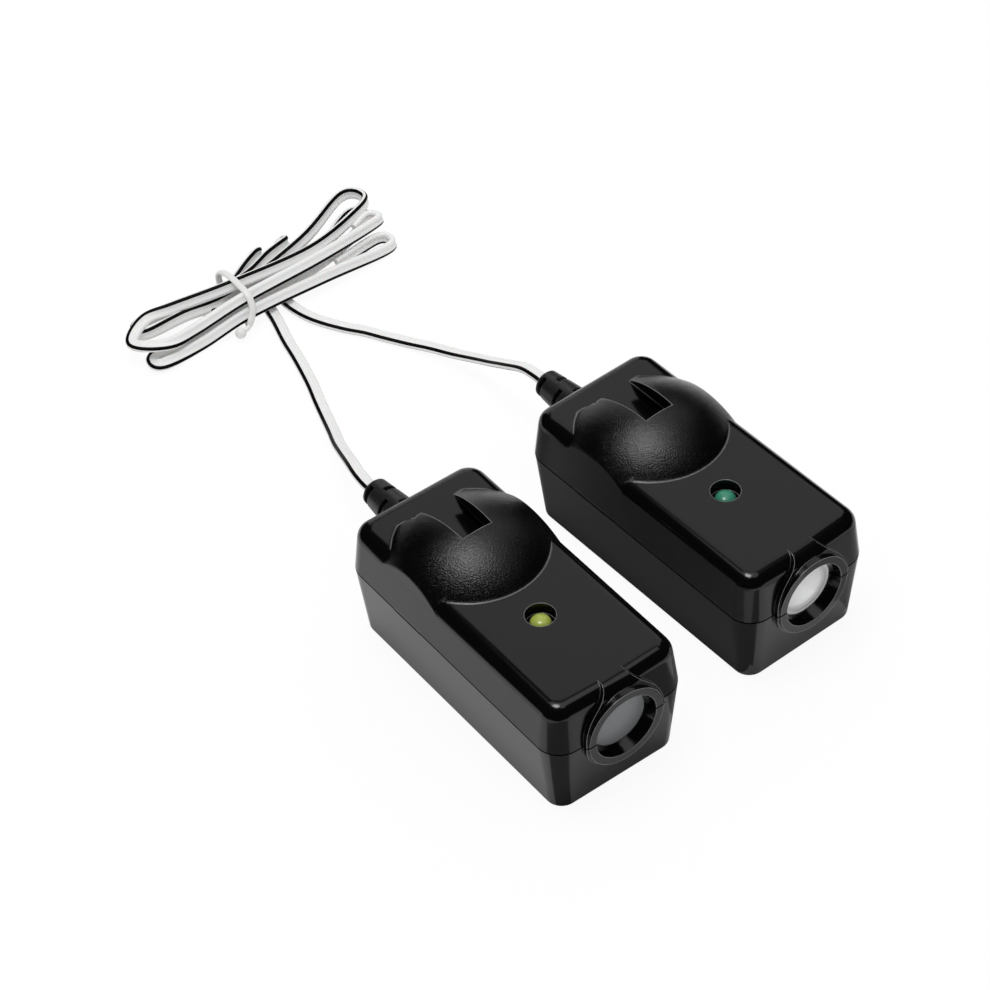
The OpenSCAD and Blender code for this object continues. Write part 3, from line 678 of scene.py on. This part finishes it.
# Grey cards round the pair, seen only in gloss: their greys are painted shade of the table in
# what the walls mirror. Name, grey, and two opposite corners in millimetres. All lie
# flat but the last two, which stand between the units and behind them.
CARDS = [
    ("gap_card", "#8e8e8e", (20.0, -36.0, 0.1), (40.5, 95.0, 0.1)),
    ("rear_card", "#8e8e8e", (-5.0, 42.0, 0.1), (20.0, 110.0, 0.1)),
    ("sender_front_card", "#e6e6e6", (-13.0, -100.0, 0.1), (23.0, -38.0, 0.1)),
    ("sender_corner_card", "#8c8c8c", (-60.0, -110.0, 0.1), (-13.0, -36.0, 0.1)),
    ("receiver_corner_card", "#8c8c8c", (23.0, -110.0, 0.1), (42.0, -36.0, 0.1)),
    ("receiver_front_card", "#bebebe", (74.0, -100.0, 0.1), (130.0, -30.0, 0.1)),
    ("between_card", "#d8d8d8", (24.0, -40.0, 0.0), (24.0, 46.0, 26.0)),
    ("back_card", "#f0f0f0", (60.0, 300.0, 0.0), (250.0, 300.0, 220.0)),
]


@dataclass
class Studio:
    """White table, overhead softbox, rear bank, and flags and cards that only gloss can see.

    The rear bank hangs where the decks mirror it to the camera, the black flags keep all
    else dark, and the grey cards put painted shade of the table into what the upright faces
    mirror.
    """

    table: float = 2.4
    table_drop: float = 0.0002
    table_paint: str = "#f7f7f7"
    table_glow: float = 1.02
    table_seen: float = 0.9
    table_in_gloss: float = 0.12
    centre: tuple[float, float] = (0.03, 0.06)
    aim_height: float = 0.02
    ambient: float = 0.56
    overhead: float = 8.2
    overhead_size: tuple[float, float] = (0.38, 0.38)
    overhead_at: tuple[float, float, float] = (-0.09, 0.06, 0.95)
    bank: float = 0.62
    bank_size: tuple[float, float] = (0.26, 0.19)
    bank_at: tuple[float, float, float] = (0.172, 0.152, 0.247)
    flag_centre: tuple[float, float] = (0.11, 0.07)
    flag_radius: tuple[float, float] = (0.25, 0.28)
    flag_height: float = 0.5
    flag_rise: float = 0.28
    flag_felt: str = "#050505"

    def lamp(self, name: str, place: tuple[float, float, float], size: tuple[float, float],
             glow: float, disk: bool = False) -> None:
        """Adds a soft area lamp that faces the pair.

        Args:
            name: Name of the lamp.
            place: Where it hangs.
            size: Its width and height.
            glow: How bright its face looks, 1 for white.
            disk: Whether it is round.
        """
        data = bpy.data.lights.new(name, "AREA")
        data.shape = "DISK" if disk else "RECTANGLE"
        data.size = size[0]
        area = size[0] * size[1]
        if disk:
            area *= math.pi / 4
        else:
            data.size_y = size[1]
        data.energy = glow * math.pi * area
        lamp = bpy.data.objects.new(name, data)
        aim = Vector((*self.centre, self.aim_height)) - Vector(place)
        lamp.location = place
        lamp.rotation_euler = aim.to_track_quat("-Z", "Y").to_euler()
        bpy.context.scene.collection.objects.link(lamp)

    def prop(self, bm: BMesh, name: str, material: Material,
             mirrored_only: bool) -> Object:
        """Turns a bmesh into a prop of the studio, which isn't part of the object.

        Args:
            bm: The finished bmesh, freed here.
            name: Name of the prop.
            material: Its only material.
            mirrored_only: Whether nothing but gloss sees it.

        Returns:
            The prop.
        """
        mesh = bpy.data.meshes.new(name)
        bm.to_mesh(mesh)
        bm.free()
        mesh.materials.append(material)
        prop = bpy.data.objects.new(name, mesh)
        bpy.context.scene.collection.objects.link(prop)
        if mirrored_only:
            prop.visible_camera = False
            prop.visible_diffuse = False
            prop.visible_transmission = False
            prop.visible_shadow = False
        return prop

    def paper(self, name: str, colour: str) -> Material:
        """Makes the matt paper or felt of a card.

        Args:
            name: Name of the material.
            colour: Its colour as hex.

        Returns:
            The material.
        """
        material, tree = new_material(name)
        close(tree, add_node(tree, "BsdfDiffuse", {"Color": linear(colour)}))
        return material

    def floor(self) -> None:
        """Lays the white table, which keeps a faint shadow."""
        material, tree = new_material("table_white_acrylic")
        path = add_node(tree, "LightPath")
        # Reflections see mostly the lit table itself, with its shadow between the two units
        seen = add_node(tree, "Math", {"operation": "MAXIMUM"}, {0: path.outputs["Is Camera Ray"],
                        1: path.outputs["Is Transmission Ray"]})
        bright = add_node(tree, "Math", {"operation": "MULTIPLY", 1: self.table_seen}, {0: seen})
        share = add_node(tree, "Math", {"operation": "MULTIPLY_ADD", 1: self.table_in_gloss},
                         {0: path.outputs["Is Glossy Ray"], 2: bright})
        paint = add_node(tree, "BsdfDiffuse", {"Color": linear(self.table_paint)})
        glow = add_node(tree, "Emission", {"Color": linear("#ffffff"),
                        "Strength": self.table_glow})
        both = add_node(tree, "MixShader", links={0: share, 1: paint, 2: glow})
        close(tree, both)
        bm = bmesh.new()
        bmesh.ops.create_grid(bm, x_segments=1, y_segments=1, size=self.table / 2)
        table = self.prop(bm, "table", material, mirrored_only=False)
        table.location = (*self.centre, -self.table_drop)

    def flags(self) -> None:
        """Stands black felt round the pair, open at the top and raised behind."""
        bm = bmesh.new()
        bmesh.ops.create_circle(bm, segments=48, radius=1.0)
        raised = bmesh.ops.extrude_edge_only(bm, edges=list(bm.edges))
        top = [v for v in raised["geom"] if isinstance(v, BMVert)]
        bmesh.ops.translate(bm, verts=top, vec=(0, 0, 1))
        bmesh.ops.scale(bm, verts=bm.verts, vec=(*self.flag_radius, self.flag_height))
        for vert in top:
            behind = vert.co.x / self.flag_radius[0] + vert.co.y / self.flag_radius[1]
            vert.co.z += self.flag_rise * max(0.0, behind)
        bmesh.ops.translate(bm, verts=bm.verts, vec=(*self.flag_centre, 0.0))
        self.prop(bm, "flags", self.paper("flag_black_felt", self.flag_felt), mirrored_only=True)

    def cards(self) -> None:
        """Sets the grey cards, painted shade of the table that the gloss mirrors and nothing else
        sees.
        """
        for name, grey, low, high in CARDS:
            bm = bmesh.new()
            bmesh.ops.create_grid(bm, x_segments=1, y_segments=1, size=0.5)
            for vert in bm.verts:
                across, along = vert.co.x + 0.5, vert.co.y + 0.5
                # A card that faces along X rises with its first side
                rise = across if low[0] == high[0] else along
                vert.co = Vector([a + share * (b - a) for a, b, share
                                  in zip(low, high, (across, along, rise))]) * MM
            self.prop(bm, name, self.paper(f"{name}_paper", grey), mirrored_only=True)

    def sky(self) -> None:
        """Sets an even white surround behind the cards."""
        world = bpy.data.worlds.new("surround")
        world.use_nodes = True
        tree = world.node_tree
        tree.nodes.clear()
        path = add_node(tree, "LightPath")
        seen = add_node(tree, "Math", {"operation": "MAXIMUM"}, {0: path.outputs["Is Camera Ray"],
                        1: path.outputs["Is Glossy Ray"]})
        shown = add_node(tree, "Math", {"operation": "MAXIMUM"}, {0: seen,
                         1: path.outputs["Is Transmission Ray"]})
        level = add_node(tree, "MapRange", {"To Min": self.ambient}, {"Value": shown})
        back = add_node(tree, "Background", {"Color": linear("#ffffff")}, {"Strength": level})
        add_node(tree, "OutputWorld", links={"Surface": back})
        bpy.context.scene.world = world

    def build(self) -> None:
        """Sets up the whole studio."""
        bpy.context.scene.view_settings.view_transform = "Standard"
        self.floor()
        self.flags()
        self.cards()
        self.sky()
        self.lamp("overhead_softbox", self.overhead_at, self.overhead_size, self.overhead,
                  disk=True)
        self.lamp("rear_bank", self.bank_at, self.bank_size, self.bank)


# ---------------------------------------------------------------- wires

# A key point of a wire: its place in millimetres, and its roll in degrees
Key = tuple[float, float, float, float]

# The free leads, from the boot to the first pass at the tie
SENDER_ROUTE: list[Key] = [
    (0, 54.65, 20, 0), (0, 58, 20, 0), (0.8, 62.5, 19.3, 0), (2.7, 68.2, 17.2, 0),
    (5.7, 76, 12.9, 0), (9.1, 84, 8, 0), (12.8, 92, 3.8, 0), (15.6, 99, 1.5, 0),
    (18, 106, 0.9, 0), (20.4, 113, 0.9, 0), (23, 122.5, 0.9, 0), (24.7, 130, 0.9, 0),
    (27, 138, 0.9, 0), (28.4, 144, 0.9, 0), (29.8, 150, 0.9, 0), (31, 155.4, 0.9, 0),
    (32, 158.6, 1.1, 20), (33.6, 161.2, 1.7, 55), (36, 162.4, 2.6, 85), (37.2, 161.4, 3.6, 95),
    (35.4, 160.3, 4.8, 105), (31, 157.9, 4.9, 118), (25.5, 155.5, 3.8, 120)]
RECEIVER_ROUTE: list[Key] = [
    (54.54, 58.51, 20, 0), (54.42, 61.9, 20, 0), (54.4, 67, 18.8, 0), (54.4, 74, 15, 0),
    (54.6, 81, 10.9, 0), (54.6, 88, 7.2, 0), (53.7, 96, 3.7, 0), (51.6, 104, 1.6, 0),
    (48.6, 110, 0.9, 0), (45.3, 115.6, 0.9, 0), (42.6, 120.4, 0.9, 0), (39.4, 125, 0.9, 0),
    (36, 131.2, 0.9, 0), (34, 137, 0.9, 0), (33.4, 143.4, 0.9, 0), (34.8, 150, 0.9, 0),
    (37, 155.4, 0.9, 0), (39.4, 158.6, 1.2, 20), (41.6, 160.6, 2.0, 55), (44, 161.4, 3.2, 85),
    (45, 160.2, 4.3, 95), (42, 158.6, 5.1, 110), (37, 157, 5.3, 118), (31, 154.8, 5, 120),
    (25.5, 153.7, 4.9, 120)]
# Each pass at the tie: across and height
SENDER_RUNS = [(154.6, 3.0), (148, 4.2), (145.3, 4.2), (142.5, 4.2)]
RECEIVER_RUNS = [(153.7, 4.9), (150.9, 4.5), (150.6, 8.1), (144.3, 8.1)]
# Each loop's tip: along, across, half width, height, and the midway places there and back
SENDER_TIPS = [(13.8, 152.2, 2.2, 2.2, 155.0, 149.6), (69.4, 157.4, 3.4, 1.9, 150, 147.2),
               (-7.2, 144.5, 2.1, 1.9, 145.7, 142.8), (68.4, 145.2, 2.6, 1.9, 142.2, 146.4)]
RECEIVER_TIPS = [(-5.5, 155.8, 2.3, 3.5, 157.6, 153.2), (70.8, 160.4, 4.1, 5.8, 154, 149.4),
                 (-9.4, 150.2, 5.8, 5.8, 155.5, 144.5), (68.8, 151.4, 1.7, 5.6, 145.8, 150.6)]
SENDER_END = (51.0, 145.0, 2.8, 300.0)
RECEIVER_END = (61.5, 151.2, 5.2, 300.0)


@dataclass
class TwinWire:
    """One unit's twin bell wire, from its boot through the hank to its bare cut end.

    Sizes are in millimetres and turns in degrees. Runs pass the tie at waist_x, and on the
    leads' side they are propped up midway.
    """

    name: str
    route: list[Key]
    runs: list[tuple[float, float]]
    tips: list[tuple[float, float, float, float, float, float]]
    end: Key
    nodes: tuple[str, ...]
    width: float = 3.4
    thickness: float = 1.65
    waist_x: float = 21.5
    shoulder: float = 1.2
    midway: float = 0.5
    prop_rise: float = 1.8
    rings: int = 8
    lobe_steps: int = 13
    lobe_reach: float = 128.0
    run_rolls: tuple[float, ...] = (120, 60, 120, 240, 300)

    def loop(self, tip: tuple[float, ...], a: tuple[float, float], b: tuple[float, float],
             rolls: tuple[float, float]) -> list[Key]:
        """Key points from run a round a tip and up to run b.

        Args:
            tip: The loop's tip, as in the lists of tips.
            a: Across and height of the first run at the waist.
            b: The same of the second run.
            rolls: Rolls of the two runs.

        Returns:
            Five key points.
        """
        way = 1 if tip[0] > self.waist_x else -1
        side = 1 if a[0] > b[0] else -1
        shoulder_x = tip[0] - way * tip[2] * self.shoulder
        mid_x = self.waist_x + (tip[0] - self.waist_x) * self.midway
        mid_z = tip[3] + (self.prop_rise if way > 0 else 0.0)
        turn = (rolls[1] - rolls[0]) / 4
        return [(mid_x, tip[4], mid_z, rolls[0]),
                (shoulder_x, tip[1] + side * tip[2], tip[3], rolls[0] + turn),
                (tip[0], tip[1], tip[3], rolls[0] + 2 * turn),
                (shoulder_x, tip[1] - side * tip[2], tip[3], rolls[1] - turn),
                (mid_x, tip[5], mid_z, rolls[1])]

    def keys(self) -> list[Key]:
        """Strings the route, the passes at the tie and the loops together.

        Returns:
            The key points of the whole wire.
        """
        keys = list(self.route)
        for i in range(3):
            keys.append((self.waist_x, *self.runs[i], self.run_rolls[i]))
            keys += self.loop(self.tips[i], self.runs[i], self.runs[i + 1],
                              self.run_rolls[i:i + 2])
        keys.append((self.waist_x, *self.runs[3], self.run_rolls[3]))
        keys += self.loop(self.tips[3], self.runs[3], (self.end[1], 0.0),
                          self.run_rolls[3:5])[:-1]
        keys.append(self.end)
        return keys

    def line(self) -> list[tuple[Vector, float]]:
        """Returns the smooth line through the key points, in metres, with its roll."""
        points = spline([Vector(k) for k in self.keys()], self.rings)
        return [(p.to_3d() * MM, math.radians(p[3])) for p in points]

    def section(self) -> list[tuple[float, float, float]]:
        """Draws the twin section.

        Returns:
            For each point its place across and through, in metres, and the angle round the
            marked conductor, in half turns.
        """
        radius = self.thickness / 2
        middle = (self.width - self.thickness) / 2
        steps = [self.lobe_reach * (2 * i / (self.lobe_steps - 1) - 1)
                 for i in range(self.lobe_steps)]
        points = []
        for side in (1, -1):
            for a in steps:
                x = middle + radius * math.cos(math.radians(a))
                y = radius * math.sin(math.radians(a))
                lobe = abs(a) / 180 if side > 0 else 1.0
                points.append((side * x * MM, side * y * MM, lobe))
        return points

    def build(self, finishes: Finishes) -> Object:
        """Args:
            finishes: Where the wire's material comes from.

        Returns:
            The wire's piece.
        """
        line = self.line()
        section = self.section()
        count = len(line)
        rings = []
        for i, (point, roll) in enumerate(line):
            heading = (line[min(count - 1, i + 1)][0] - line[max(0, i - 1)][0]).normalized()
            level = Vector((0, 0, 1)).cross(heading).normalized()
            upward = heading.cross(level)
            across = level * math.cos(roll) + upward * math.sin(roll)
            through = heading.cross(across)
            rings.append([point + across * x + through * y for x, y, _ in section])
        bm = bmesh.new()
        lobe = bm.verts.layers.float.new("lobe")
        for ring in sweep(bm, rings, closed=False):
            for vert, (_, _, angle) in zip(ring, section):
                vert[lobe] = angle
        bmesh.ops.recalc_face_normals(bm, faces=bm.faces)
        mark_edges(bm, SOFT_TURN)
        piece = piece_from(bm, self.name, finishes.get(Finish.WIRE))
        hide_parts(*self.nodes)
        return piece


@dataclass
class Tie:
    """White nylon tie round the waist of the hank, its tail bent back to a round head."""

    band_keys: tuple[tuple[float, float, float], ...] = (
        (19.6, 139.8, 3.0), (21.7, 141.0, 6.2), (22.2, 143.2, 9.2), (22.2, 147.0, 10.1),
        (22.3, 152.4, 9.9), (22.5, 157.0, 8.0), (22.6, 158.6, 5.0), (22.4, 156.6, 1.6),
        (22.0, 150.0, 0.9), (21.0, 143.0, 0.9))
    tail_keys: tuple[tuple[float, float, float], ...] = (
        (19.9, 139.9, 3.2), (18.8, 139.5, 2.6), (17.6, 139.4, 2.3), (16.4, 139.3, 2.3))
    half_width: float = 0.95
    half_thickness: float = 0.55
    tail_radius: float = 0.65
    head_radius: float = 1.5
    steps: int = 6
    segments: int = 14
    head_rings: int = 12
    head_segments: int = 20

    def outline(self, line: list[Vector], closed: bool, wide: float,
                thin: float) -> list[list[Vector]]:
        """Lays rings of an oval section along a line.

        Args:
            line: Points of the line in millimetres.
            closed: Whether it is a loop.
            wide: Half width along the hank.
            thin: Half thickness outward.

        Returns:
            Rings of points in metres.
        """
        count = len(line)
        rings = []
        for i, point in enumerate(line):
            ahead = line[(i + 1) % count] if closed else line[min(count - 1, i + 1)]
            behind = line[i - 1] if closed else line[max(0, i - 1)]
            heading = (ahead - behind).normalized()
            aside = Vector((1, 0, 0)) if closed else Vector((0, 1, 0))
            outward = heading.cross(aside).normalized()
            across = outward.cross(heading)
            turns = [2 * math.pi * k / self.segments for k in range(self.segments)]
            rings.append([(point + across * (wide * math.cos(a))
                           + outward * (thin * math.sin(a))) * MM for a in turns])
        return rings

    def build(self, finishes: Finishes) -> Object:
        """Sweeps the band and the tail, and adds the head.

        Args:
            finishes: Where the tie's material comes from.

        Returns:
            The tie's piece.
        """
        bm = bmesh.new()
        band = spline([Vector(k) for k in self.band_keys], self.steps, closed=True)
        sweep(bm, self.outline(band, True, self.half_width, self.half_thickness), closed=True)
        tail = spline([Vector(k) for k in self.tail_keys], self.steps)
        sweep(bm, self.outline(tail, False, self.tail_radius, self.tail_radius), closed=False)
        head = bmesh.ops.create_uvsphere(bm, u_segments=self.head_segments,
                                         v_segments=self.head_rings,
                                         radius=self.head_radius * MM)
        bmesh.ops.translate(bm, verts=head["verts"], vec=Vector(self.tail_keys[-1]) * MM)
        bmesh.ops.recalc_face_normals(bm, faces=bm.faces)
        mark_edges(bm, SOFT_TURN)
        piece = piece_from(bm, "hank_tie_band", finishes.get(Finish.TIE))
        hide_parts("hank_tie")
        return piece


# ---------------------------------------------------------------- the two units

class Kind(Enum):
    """Which of the two units this is."""

    SENDER = "sender"
    RECEIVER = "receiver"


# Parts whose mesh is refined here: part, finish and the record's slot
SHOWN = [("base", Finish.ABS, "shell_black"), ("cover", Finish.ABS, "shell_black"),
         ("boot", Finish.RUBBER, "boot_rubber")]
SHOWN_OWN = {
    Kind.SENDER: [("lens", Finish.LENS_GREY, "lens_grey"),
                  ("indicator", Finish.LED_YELLOW, "indicator_yellow")],
    Kind.RECEIVER: [("lens", Finish.LENS_CLEAR, "lens_clear"),
                    ("indicator", Finish.LED_GREEN, "indicator_green")]}
# Parts that are carried over from the model: part and finish
CARRIED = [("lens_holder", Finish.HOLDER), ("board", Finish.BOARD),
           ("resistors", Finish.RESISTOR), ("capacitor", Finish.CAPACITOR),
           ("rectifier", Finish.CHIP), ("board_screws", Finish.SCREW),
           ("inner_wires", Finish.CORE)]
CARRIED_OWN = {
    Kind.SENDER: [("emitter", Finish.EMITTER), ("driver_chip", Finish.CHIP)],
    Kind.RECEIVER: [("photodiode", Finish.DETECTOR), ("shield_can", Finish.CAN),
                    ("amplifier_chip", Finish.CHIP)]}


@dataclass
class Unit:
    """One housing with what is in it, at its place and turn, in millimetres and degrees."""

    kind: Kind
    place: tuple[float, float] = (0.0, 0.0)
    turn: float = 0.0
    dome_centre: tuple[float, float, float] = (0.0, 15.1, 13.92)
    dome_radius: float = 26.08
    grain_reach: float = 0.12
    grain_floor: float = 26.0
    merge: float = 0.002
    sharp: float = 32.0
    crown_z: float = 29.3
    crown_share: float = 0.66

    def local(self, point: Vector) -> Vector:
        """Returns a point of the model in this unit's own millimetres."""
        shift = Vector((*self.place, 0.0))
        return Matrix.Rotation(-math.radians(self.turn), 3, "Z") @ (point / MM - shift)

    def node(self, part: str) -> str:
        """Returns the name of this unit's node for a part."""
        return f"{self.kind.value}_{part}"

    def mark(self, bm: BMesh) -> None:
        """Marks the dome's grain by face, and the unit's own coordinates by vertex.

        Args:
            bm: Mesh of a part, in the model's frame.
        """
        own = bm.verts.layers.float_vector.new("own")
        grain = bm.faces.layers.float.new("grain")
        centre = Vector(self.dome_centre)
        for vert in bm.verts:
            vert[own] = self.local(vert.co) * MM
        for face in bm.faces:
            spot = self.local(face.calc_center_median())
            off = abs((spot - centre).length - self.dome_radius)
            on_dome = off < self.grain_reach and spot.z > self.grain_floor
            face[grain] = 1.0 if on_dome else 0.0

    def refined(self, part: str, finish: Finish,
                finishes: Finishes) -> Object:
        """Copies a node's mesh, merges it and shades it smooth between its real edges.

        The indicator's crown is lowered, because the real one is flatter.

        Args:
            part: The part's name without its unit.
            finish: What it is made of.
            finishes: Where the material comes from.

        Returns:
            The piece that stands for the node.
        """
        bm = bmesh.new()
        bm.from_mesh(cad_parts[self.node(part)].data)
        bmesh.ops.remove_doubles(bm, verts=bm.verts, dist=self.merge * MM)
        if part == "indicator":
            for vert in bm.verts:
                rise = vert.co.z - self.crown_z * MM
                vert.co.z -= max(0.0, rise) * (1 - self.crown_share)
        mark_edges(bm, self.sharp)
        self.mark(bm)
        piece = piece_from(bm, f"{self.node(part)}_skin", finishes.get(finish))
        even = piece.modifiers.new("even_normals", "WEIGHTED_NORMAL")
        even.keep_sharp = True
        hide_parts(self.node(part))
        return piece

    def carried(self, part: str, finish: Finish, finishes: Finishes) -> Object:
        """Gives a carried-over node its material.

        Args:
            part: The part's name without its unit.
            finish: What it is made of.
            finishes: Where the material comes from.

        Returns:
            The node's object.
        """
        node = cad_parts[self.node(part)]
        for entry in node.material_slots:
            entry.material = finishes.get(finish)
        return node

    def build(self, finishes: Finishes) -> list[Object]:
        """Builds and dresses every piece of the unit.

        Args:
            finishes: Where the materials come from.

        Returns:
            The unit's pieces.
        """
        shown = [self.refined(part, finish, finishes)
                 for part, finish, slot in SHOWN + SHOWN_OWN[self.kind]]
        return shown + [self.carried(part, finish, finishes)
                        for part, finish in CARRIED + CARRIED_OWN[self.kind]]


def main() -> None:
    """Builds the camera, the wires, the studio and the two units."""
    logging.basicConfig(level=logging.INFO)
    finishes = Finishes()
    Camera().build()
    pieces = [TwinWire("sender_wire", SENDER_ROUTE, SENDER_RUNS, SENDER_TIPS, SENDER_END,
                       ("sender_lead", "sender_hank")).build(finishes),
              TwinWire("receiver_wire", RECEIVER_ROUTE, RECEIVER_RUNS, RECEIVER_TIPS,
                       RECEIVER_END, ("receiver_lead", "receiver_hank")).build(finishes),
              Tie().build(finishes)]
    Studio().build()
    pieces += Unit(Kind.SENDER).build(finishes)
    pieces += Unit(Kind.RECEIVER, (56.5, 3.9), 2.06).build(finishes)
    for piece in pieces:
        log.info("%s in %s", piece.name, piece.material_slots[0].material.name)
    bpy.context.view_layer.update()


if __name__ == "__main__":
    main()
